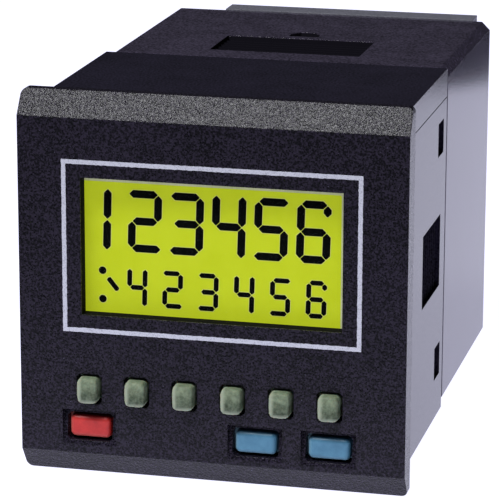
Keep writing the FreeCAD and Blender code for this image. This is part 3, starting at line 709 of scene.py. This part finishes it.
FLANGE_THICKNESS = 0.7 * MM
FLANGE_LUG = 0.35 * MM
FLANGE_INSET = 0.3 * MM
STEM_RADIUS = 0.9 * MM
STEM_TAPER = 0.1 * MM
STRAIGHT_SIDE = 0.5 * MM
DOME_HEIGHT = 0.62 * MM
RING_POINTS = 64
KEY_LUMP = 0.035 * MM
LUMPS_START = 1.5 * MM


def oblong(half_x, half_z, power, count=RING_POINTS):
    """Points round a rectangle-like curve; a higher power is squarer."""
    points = []
    for i in range(count):
        turn = 2 * math.pi * i / count
        x = math.copysign(abs(math.cos(turn)) ** (2 / power), math.cos(turn))
        z = math.copysign(abs(math.sin(turn)) ** (2 / power), math.sin(turn))
        points.append((half_x * x, half_z * z))
    return points


def dome_rings(front, half_x, half_z):
    """Rings from the straight side of a key over its soft edge to near its middle."""
    rings = []
    for share in (0.0, 0.06, 0.16, 0.3, 0.46, 0.62, 0.78, 0.9):
        drop = DOME_HEIGHT * (1 - share ** 0.5) ** 1.7
        shrink = 1 - 0.94 * share ** 1.25
        rings.append((front + drop, half_x * shrink, half_z * shrink, 4.6 - 2.2 * share))
    return rings


def build_key(node, number, rubber):
    """A decade key as one closed skin: stem, flange, block and domed face."""
    low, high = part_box(node)
    centre = (low + high) / 2
    half_x = (high.x - low.x) / 2 - FLANGE_LUG - FLANGE_INSET
    half_z = (high.z - low.z) / 2
    flange_front = PANE_LOW.y
    flange_back = flange_front + FLANGE_THICKNESS
    chance = random.Random(20 + number)
    sections = [
        (high.y, STEM_RADIUS * 0.9, STEM_RADIUS * 0.9, 2.0),
        (high.y - STEM_TAPER, STEM_RADIUS, STEM_RADIUS, 2.0),
        (flange_back + 0.05 * MM, STEM_RADIUS, STEM_RADIUS, 2.0),
        (flange_back, half_x + FLANGE_LUG, half_z, 9.0),
        (flange_front, half_x + FLANGE_LUG, half_z, 9.0),
        (flange_front - 0.02 * MM, half_x, half_z, 5.0),
        (low.y + DOME_HEIGHT + STRAIGHT_SIDE, half_x, half_z, 4.8),
    ]
    sections += dome_rings(low.y, half_x, half_z)
    skin = bmesh.new()
    rings = []
    for y, across, up, power in sections:
        ring = []
        for x, z in oblong(across, up, power):
            lump = chance.uniform(0.0, KEY_LUMP) if y < flange_front - LUMPS_START else 0.0
            ring.append(skin.verts.new((centre.x + x * (1 - lump / half_x), y + lump,
                                        centre.z + z * (1 - lump / half_z))))
        rings.append(ring)
    skin.faces.new(rings[0])
    for near, far in zip(rings, rings[1:]):
        for i in range(RING_POINTS):
            j = (i + 1) % RING_POINTS
            skin.faces.new((near[i], near[j], far[j], far[i]))
    tip = skin.verts.new((centre.x, low.y, centre.z))
    for i in range(RING_POINTS):
        skin.faces.new((rings[-1][i], rings[-1][(i + 1) % RING_POINTS], tip))
    piece = new_piece(node + "_skin", skin, rubber, body=node, smooth=True)
    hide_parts(node)


# The studio: a pale floor, a dark card, one soft light and a camera.

FLOOR_HALF = 3.0
FLOOR_LIT = -30 * MM
FLOOR_DARK = -70 * MM
FLOOR_GLOW = 1.27
CARD_PLACE = (106 * MM, 352 * MM)
CARD_SIZE = (62 * MM, 120 * MM)
CARD_HEIGHT = 3 * MM
CARD_TAPER = 0.94
SOFTBOX_PLACE = Vector((-0.12, -0.25, 0.49))
SOFTBOX_SIZE = (0.2, 0.17)
SOFTBOX_POWER = 2.9
SOFTBOX_COLOUR = (0.97, 0.98, 1.0)
ROOM_COLOUR = (0.8, 0.82, 0.9, 1.0)
ROOM_STRENGTH = 0.025
CAMERA_AZIMUTH = math.radians(13.544)
CAMERA_ELEVATION = math.radians(14.841)
CAMERA_ROLL = math.radians(0.162)
CAMERA_DISTANCE = 354.24 * MM
CAMERA_AIM = Vector((4.858 * MM, FACE_LOW.y, 6.134 * MM))
CAMERA_LENS = 214.36
CAMERA_SENSOR = 36.0


def build_floor():
    """A pale lit floor that is left dark well in front of the object."""
    base = bmesh.new()
    bmesh.ops.create_grid(base, x_segments=8, y_segments=8, size=FLOOR_HALF)
    bmesh.ops.translate(base, verts=base.verts, vec=(0, 0, CAD_LOW.z))
    s = Surface("floor_paper")
    soft = s.noise(60 * MM, detail=2.0)
    s.colour(s.blend(soft, (0.22, 0.22, 0.24), (0.26, 0.26, 0.28)))
    front = s.spread(s.along("Y"), FLOOR_LIT, FLOOR_DARK)
    lit = s.blend(soft, (0.79, 0.79, 1.0), (0.81, 0.81, 1.0))
    s.glow(s.blend(front, lit, (0.2, 0.2, 0.26)))
    s.roughness(s.level(soft, 0.8, 0.9))
    s.set(Emission_Strength=FLOOR_GLOW, Specular_IOR_Level=0.1)
    floor = mesh_object("floor", base, s.material)


def build_card():
    """A dark rounded card on the floor beside the picture, mirrored in the side."""
    outline = oblong(CARD_SIZE[0], CARD_SIZE[1], 5.0)
    card = bmesh.new()
    rings = []
    for lift, share in ((0.0, 1.0), (CARD_HEIGHT, CARD_TAPER)):
        z = CAD_LOW.z + lift
        rings.append([card.verts.new((CARD_PLACE[0] + x * share, CARD_PLACE[1] + y * share, z))
                      for x, y in outline])
    card.faces.new(rings[0])
    card.faces.new(rings[1])
    for i in range(RING_POINTS):
        j = (i + 1) % RING_POINTS
        card.faces.new((rings[0][i], rings[0][j], rings[1][j], rings[1][i]))
    bmesh.ops.recalc_face_normals(card, faces=card.faces)
    felt = moulded("dark_card_felt", linear(14, 14, 22), linear(26, 26, 36),
                   2.0 * MM, 0.2 * MM, (0.8, 0.9), 0.1)
    piece = mesh_object("dark_card", card, felt)
    piece.visible_camera = False


def build_lights():
    """One softbox above and in front, turned towards the object, in a dim room."""
    lamp = bpy.data.lights.new("softbox_front", "AREA")
    lamp.shape = "RECTANGLE"
    lamp.size, lamp.size_y = SOFTBOX_SIZE
    lamp.energy = SOFTBOX_POWER
    lamp.color = SOFTBOX_COLOUR
    light = bpy.data.objects.new("softbox_front", lamp)
    light.location = SOFTBOX_PLACE
    light.rotation_euler = (-SOFTBOX_PLACE).to_track_quat("-Z", "Y").to_euler()
    bpy.context.scene.collection.objects.link(light)
    world = bpy.data.worlds.new("studio")
    world.use_nodes = True
    background = world.node_tree.nodes["Background"]
    background.inputs["Color"].default_value = ROOM_COLOUR
    background.inputs["Strength"].default_value = ROOM_STRENGTH
    bpy.context.scene.world = world


def build_camera():
    """The camera's place in the studio, looking down and to the left."""
    back = Vector((
        math.sin(CAMERA_AZIMUTH) * math.cos(CAMERA_ELEVATION),
        -math.cos(CAMERA_AZIMUTH) * math.cos(CAMERA_ELEVATION),
        math.sin(CAMERA_ELEVATION),
    ))
    lens = bpy.data.cameras.new("camera")
    lens.lens = CAMERA_LENS
    lens.sensor_width = CAMERA_SENSOR
    lens.clip_start = 0.01
    lens.clip_end = 20.0
    camera = bpy.data.objects.new("camera", lens)
    camera.location = CAMERA_AIM + back * CAMERA_DISTANCE
    camera.rotation_euler = (math.pi / 2 - CAMERA_ELEVATION, 0.0, CAMERA_AZIMUTH)
    camera.rotation_euler.rotate_axis("Z", CAMERA_ROLL)
    bpy.context.scene.collection.objects.link(camera)
    bpy.context.scene.camera = camera


materials = finishes()
dress_cad(materials)
for node_name, own_plastic in (("front_frame", frame_plastic), ("rear_housing", rear_plastic)):
    for slot_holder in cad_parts[node_name].material_slots:
        slot_holder.material = own_plastic()
print_border()
build_display()
for key_number in range(1, 7):
    build_key("decade_key_%d" % key_number, key_number, materials["decade_key_rubber"])
build_floor()
build_card()
build_lights()
build_camera()
bpy.context.scene.view_settings.view_transform = "Standard"
